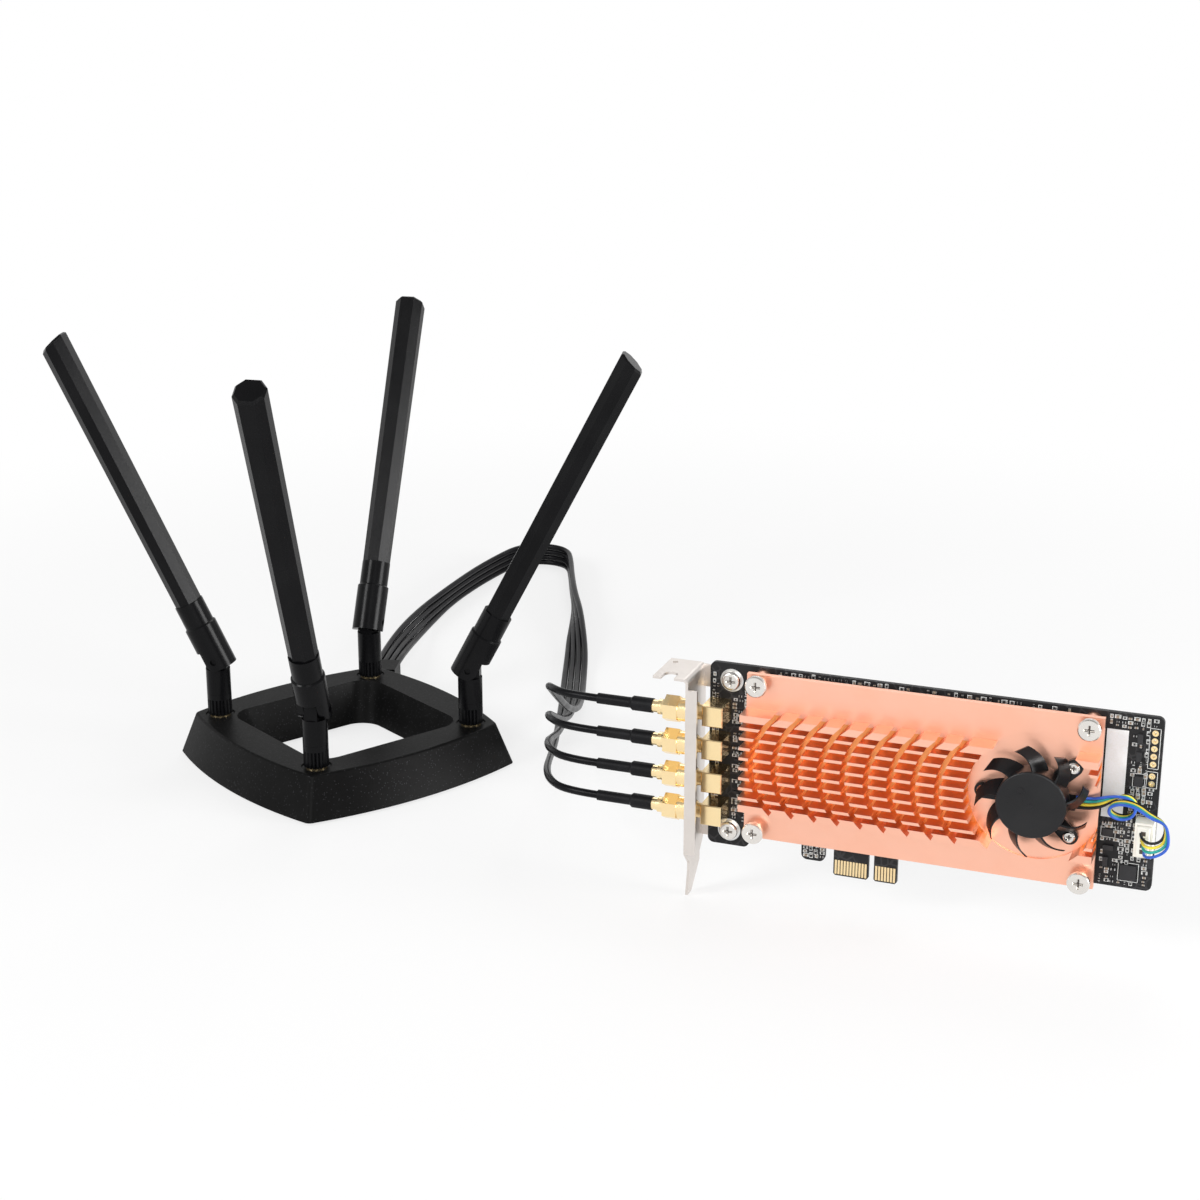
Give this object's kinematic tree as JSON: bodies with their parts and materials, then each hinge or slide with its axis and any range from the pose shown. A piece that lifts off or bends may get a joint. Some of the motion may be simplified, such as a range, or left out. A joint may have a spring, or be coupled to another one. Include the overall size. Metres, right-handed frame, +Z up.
{
  "type": "wireless expansion card",
  "caption": "Low profile expansion card with a finned heat sink and small fan, joined by coax cables to a square ring dock that carries tilting and swivelling antennas.",
  "frame": {"origin": "on the floor under the middle of the card, bracket, dock and antennas together, cables and plugs left out", "axes": "+X along the card away from its bracket, -Y towards the fan side of the card, +Z up"},
  "size_m": [0.4224, 0.3611, 0.1682],
  "materials": {
    "board": "black solder mask",
    "gold": "gold plated",
    "nickel": "satin nickel",
    "screw": "bright zinc",
    "copper_anodised": "copper coloured anodised",
    "fan_plastic": "satin moulded",
    "white_plastic": "moulded",
    "label": "matt",
    "chip": "matt",
    "shield": "tinned",
    "pad": "soft",
    "bearing": "sintered bronze",
    "stator": "laminated",
    "magnet": "bonded ferrite",
    "shaft": "ground",
    "wire_blue": "vinyl",
    "wire_green": "vinyl",
    "wire_yellow": "vinyl",
    "wire_black": "vinyl",
    "cable": "satin jacket",
    "boot": "heat shrink",
    "dock_plastic": "fine speckled texture",
    "foot": "matt",
    "antenna_plastic": "satin",
    "nut_plastic": "satin"
  },
  "bodies": {
    "card_and_dock": {"pcb": "board", "edge_contacts": "gold", "bracket": "nickel", "bracket_screws": "screw", "heat_sink": "copper_anodised", "standoffs": "copper_anodised", "heat_sink_screws": "screw", "radio_shields": "shield", "thermal_pads": "pad", "fan_base": "fan_plastic", "fan_bearing": "bearing", "fan_stator": "stator", "fan_screws": "screw", "fan_header": "white_plastic", "fan_plug": "white_plastic", "label": "label", "board_chips": "chip", "sma_jacks": "gold", "plug_nuts": "gold", "boots": "boot", "dock_housing": "dock_plastic", "dock_bottom": "dock_plastic", "dock_screws": "screw", "dock_feet": "foot", "dock_jacks": "gold", "fan_wire_blue": "wire_blue", "fan_wire_green": "wire_green", "fan_wire_yellow": "wire_yellow", "fan_wire_black": "wire_black", "plug_1": "gold", "coax_1": "cable", "antenna_1_nut": "nut_plastic", "plug_2": "gold", "coax_2": "cable", "antenna_2_nut": "nut_plastic", "plug_3": "gold", "coax_3": "cable", "antenna_3_nut": "nut_plastic", "plug_4": "gold", "coax_4": "cable", "antenna_4_nut": "nut_plastic"},
    "fan_wheel": {"fan_rotor": "fan_plastic", "fan_magnet": "magnet", "fan_shaft": "shaft"},
    "swivel_1": {"antenna_1_stem": "antenna_plastic"},
    "tilt_1": {"antenna_1_sleeve": "antenna_plastic", "antenna_1_pin": "shaft", "antenna_1_blade": "antenna_plastic"},
    "swivel_2": {"antenna_2_stem": "antenna_plastic"},
    "tilt_2": {"antenna_2_sleeve": "antenna_plastic", "antenna_2_pin": "shaft", "antenna_2_blade": "antenna_plastic"},
    "swivel_3": {"antenna_3_stem": "antenna_plastic"},
    "tilt_3": {"antenna_3_sleeve": "antenna_plastic", "antenna_3_pin": "shaft", "antenna_3_blade": "antenna_plastic"},
    "swivel_4": {"antenna_4_stem": "antenna_plastic"},
    "tilt_4": {"antenna_4_sleeve": "antenna_plastic", "antenna_4_pin": "shaft", "antenna_4_blade": "antenna_plastic"}
  },
  "joints": [
    {"name": "fan_spin", "type": "hinge", "parent": "card_and_dock", "child": "fan_wheel", "pos_m": [0.1715, -0.07709, 0.0517], "axis": [0, -1, 0], "continuous": true},
    {"name": "antenna_1_swivel", "type": "hinge", "parent": "card_and_dock", "child": "swivel_1", "pos_m": [-0.15099, -0.02154, 0.0256], "axis": [0, 0, 1], "range_deg": [-60, 60]},
    {"name": "antenna_1_tilt", "type": "hinge", "parent": "swivel_1", "child": "tilt_1", "pos_m": [-0.15099, -0.02154, 0.03925], "axis": [0.2622, -0.965, 0], "range_deg": [-24.4, 65.6]},
    {"name": "antenna_2_swivel", "type": "hinge", "parent": "card_and_dock", "child": "swivel_2", "pos_m": [-0.09085, -0.05598, 0.0256], "axis": [0, 0, 1], "range_deg": [-60, 60]},
    {"name": "antenna_2_tilt", "type": "hinge", "parent": "swivel_2", "child": "tilt_2", "pos_m": [-0.09085, -0.05598, 0.03925], "axis": [0.9921, 0.1253, 0], "range_deg": [-19.5, 70.5]},
    {"name": "antenna_3_swivel", "type": "hinge", "parent": "card_and_dock", "child": "swivel_3", "pos_m": [-0.05641, 0.00416, 0.0256], "axis": [0, 0, 1], "range_deg": [-60, 60]},
    {"name": "antenna_3_tilt", "type": "hinge", "parent": "swivel_3", "child": "tilt_3", "pos_m": [-0.05641, 0.00416, 0.03925], "axis": [-0.2622, 0.965, 0], "range_deg": [-27.4, 62.6]},
    {"name": "antenna_4_swivel", "type": "hinge", "parent": "card_and_dock", "child": "swivel_4", "pos_m": [-0.11655, 0.0386, 0.0256], "axis": [0, 0, 1], "range_deg": [-60, 60]},
    {"name": "antenna_4_tilt", "type": "hinge", "parent": "swivel_4", "child": "tilt_4", "pos_m": [-0.11655, 0.0386, 0.03925], "axis": [-0.9921, -0.1253, 0], "range_deg": [-28, 62]}
  ]
}
